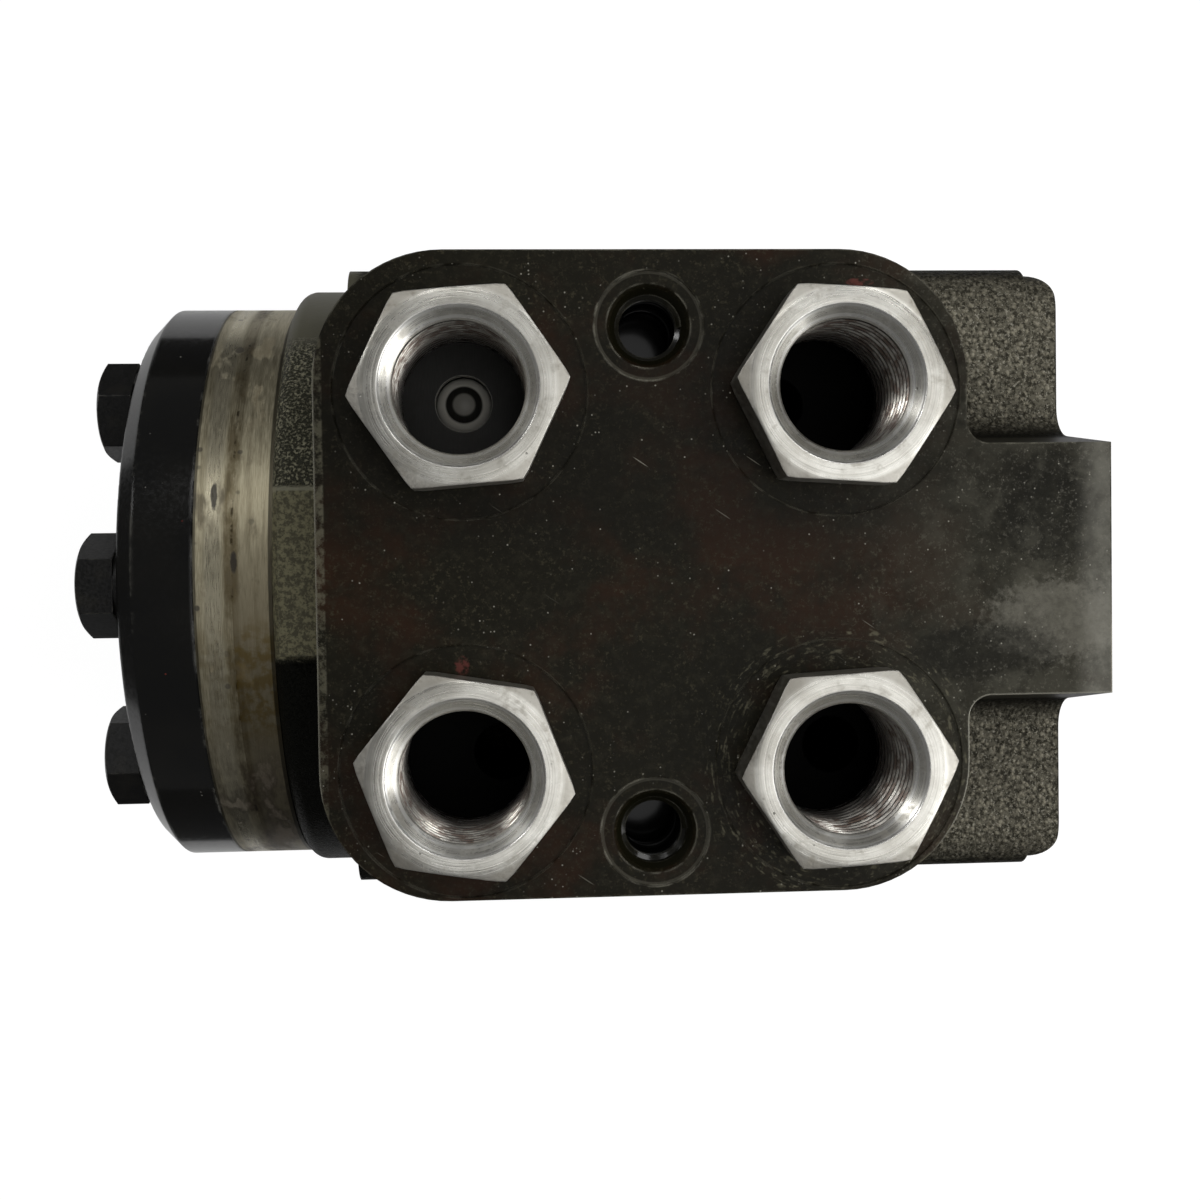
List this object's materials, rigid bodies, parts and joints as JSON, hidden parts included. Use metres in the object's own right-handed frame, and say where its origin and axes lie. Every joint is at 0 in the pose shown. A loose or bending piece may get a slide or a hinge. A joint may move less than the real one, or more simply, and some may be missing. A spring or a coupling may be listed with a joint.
{
  "type": "orbital steering unit",
  "caption": "Hydraulic steering unit: cast housing with a port face, hex port adapters, and a gear set under a bolted round cover.",
  "frame": {"origin": "where the shaft axis meets the face for the steering column", "axes": "+X along the shaft towards the column, +Z out of the port face"},
  "size_m": [0.1383, 0.0926, 0.1105],
  "materials": {
    "black_casting": "thin black paint over a sand casting, rubbed on the port face",
    "gloss_black": "gloss black",
    "black_steel": "black oxide, oiled",
    "ground_steel": "ground, stained with oil",
    "turned_steel": "bright, with turning marks",
    "hardened_steel": "ground and oiled",
    "seal_rubber": "matte"
  },
  "bodies": {
    "root": {"housing": "black_casting", "port_adapter_p": "turned_steel", "port_adapter_l": "turned_steel", "port_adapter_t": "turned_steel", "port_adapter_r": "turned_steel", "port_seals": "seal_rubber", "check_valve_bush": "hardened_steel", "check_ball_pin": "hardened_steel", "bearing_race_outer": "hardened_steel", "shaft_seal": "seal_rubber", "dust_seal": "seal_rubber", "distributor_plate": "ground_steel", "gear_ring": "ground_steel", "end_cover": "gloss_black", "o_rings": "seal_rubber", "screw_washers": "black_steel", "cover_screws": "black_steel", "pin_screw": "black_steel"},
    "sleeve": {"sleeve": "hardened_steel", "cross_pin": "hardened_steel", "spring_retaining_ring": "hardened_steel", "centering_springs": "hardened_steel", "bearing_race_inner": "hardened_steel"},
    "spool": {"spool": "hardened_steel"},
    "bearing_cage": {"needle_cage": "hardened_steel", "needles": "hardened_steel"},
    "orbit": {"cardan_spacer": "hardened_steel"},
    "rotor": {"rotor": "hardened_steel"},
    "cardan": {"cardan_shaft": "hardened_steel"},
    "check_ball": {"check_ball": "hardened_steel"},
    "emergency_ball": {"emergency_ball": "hardened_steel"}
  },
  "joints": [
    {"name": "input_turn", "type": "hinge", "parent": "root", "child": "sleeve", "pos_m": [0, 0, 0], "axis": [1, 0, 0], "continuous": true},
    {"name": "spool_offset", "type": "hinge", "parent": "sleeve", "child": "spool", "pos_m": [0, 0, 0], "axis": [1, 0, 0], "range_deg": [-8, 8], "stiffness_Nm_per_rad": 14},
    {"name": "cage_turn", "type": "hinge", "parent": "root", "child": "bearing_cage", "pos_m": [0, 0, 0], "axis": [1, 0, 0], "continuous": true},
    {"name": "rotor_orbit", "type": "hinge", "parent": "root", "child": "orbit", "pos_m": [-0.1184, 0, 0], "axis": [1, 0, 0], "continuous": true},
    {"name": "rotor_spin", "type": "hinge", "parent": "orbit", "child": "rotor", "pos_m": [-0.1184, 0, 0.0032], "axis": [1, 0, 0], "continuous": true},
    {"name": "cardan_spin", "type": "hinge", "parent": "orbit", "child": "cardan", "pos_m": [-0.062, 0, 0], "axis": [0.9984, 0, -0.0566], "continuous": true},
    {"name": "check_ball_lift", "type": "slide", "parent": "root", "child": "check_ball", "axis": [0, 0, 1], "range_m": [0, 0.0015]},
    {"name": "emergency_ball_travel", "type": "slide", "parent": "root", "child": "emergency_ball", "axis": [-1, 0, 0], "range_m": [0, 0.001]}
  ],
  "couplings": [
    {"joint": "cage_turn", "follows": "input_turn", "ratio": 0.5},
    {"joint": "rotor_orbit", "follows": "input_turn", "ratio": -6},
    {"joint": "rotor_spin", "follows": "input_turn", "ratio": 7},
    {"joint": "cardan_spin", "follows": "input_turn", "ratio": 7}
  ]
}
